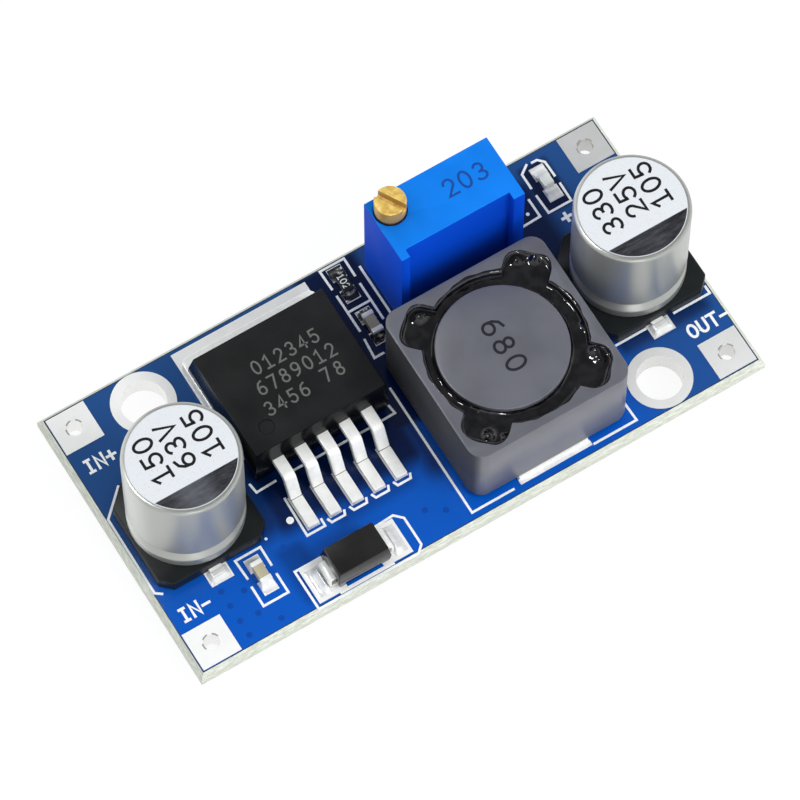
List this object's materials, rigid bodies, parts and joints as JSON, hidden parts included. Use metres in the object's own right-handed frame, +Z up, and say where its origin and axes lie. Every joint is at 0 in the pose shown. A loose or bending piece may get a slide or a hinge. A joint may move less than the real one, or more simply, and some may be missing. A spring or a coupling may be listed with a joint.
{
  "type": "buck converter module",
  "caption": "Step-down power converter on a small blue board: electrolytic capacitors, gull-wing regulator, shielded inductor, screw trimmer, diode, chips and wire pads.",
  "frame": {"origin": "centre of the footprint, in the plane the trimmer's pin ends stand on; the board's underside is 0.8 mm above it and its upper face 2.4 mm", "axes": "+X along the board from the input end to the output end, +Y from the diode's side to the regulator tab's side, +Z up out of the component side"},
  "size_m": [0.0438, 0.0216, 0.014],
  "materials": {
    "solder_mask": "gloss blue solder mask over a glass-epoxy laminate with raw edges",
    "tinned_copper": "hot-dipped tin, slightly uneven",
    "can_aluminium": "drawn aluminium, satin, with a dark printed segment on top",
    "cap_plastic": "dark moulded plastic",
    "tinned_lead": "tin-plated leads",
    "package_black": "moulded epoxy with a fine grain",
    "heat_tab": "tin-plated copper tab",
    "ferrite": "grey sintered ferrite",
    "winding_wire": "enamelled copper wire",
    "resin_black": "glossy dark potting resin",
    "trimmer_blue": "moulded blue plastic",
    "potting": "pale potting compound",
    "screw_brass": "turned brass",
    "seal_rubber": "black rubber ring",
    "solder": "solder fillets",
    "diode_black": "moulded epoxy",
    "led_slip": "white circuit slip",
    "led_lens": "clear to milky epoxy lens",
    "resistor_coat": "dark glass coat over ceramic",
    "ceramic_tan": "tan fired ceramic",
    "ceramic_grey": "grey-brown fired ceramic"
  },
  "bodies": {
    "board": {"pcb": "solder_mask", "corner_pads": "tinned_copper", "mount_pads": "tinned_copper", "smd_pads": "tinned_copper", "input_cap_can": "can_aluminium", "input_cap_base": "cap_plastic", "input_cap_lead_a": "tinned_lead", "input_cap_lead_b": "tinned_lead", "output_cap_can": "can_aluminium", "output_cap_base": "cap_plastic", "output_cap_lead_a": "tinned_lead", "output_cap_lead_b": "tinned_lead", "regulator_body": "package_black", "regulator_tab": "heat_tab", "regulator_lead_1": "tinned_lead", "regulator_lead_2": "tinned_lead", "regulator_lead_3": "tinned_lead", "regulator_lead_4": "tinned_lead", "regulator_lead_5": "tinned_lead", "inductor_shield": "ferrite", "inductor_drum": "ferrite", "inductor_winding": "winding_wire", "inductor_resin": "resin_black", "inductor_terminal_a": "tinned_lead", "inductor_terminal_b": "tinned_lead", "trimmer_housing": "trimmer_blue", "trimmer_base": "potting", "trimmer_pin_1": "tinned_lead", "trimmer_pin_2": "tinned_lead", "trimmer_pin_3": "tinned_lead", "trimmer_solder": "solder", "diode_body": "diode_black", "diode_lead_anode": "tinned_lead", "diode_lead_cathode": "tinned_lead", "led_base": "led_slip", "led_lens": "led_lens", "led_terminals": "tinned_lead", "resistor_body": "resistor_coat", "resistor_terminals": "tinned_lead", "bypass_cap_body": "ceramic_tan", "bypass_cap_terminals": "tinned_lead", "feedback_cap_body": "ceramic_grey", "feedback_cap_terminals": "tinned_lead"},
    "screw": {"trimmer_screw": "screw_brass", "trimmer_o_ring": "seal_rubber"}
  },
  "joints": [
    {"name": "trimmer_turn", "type": "hinge", "parent": "board", "child": "screw", "pos_m": [0.00377, 0.00768, 0.0125], "axis": [0, 0, 1], "continuous": true}
  ]
}
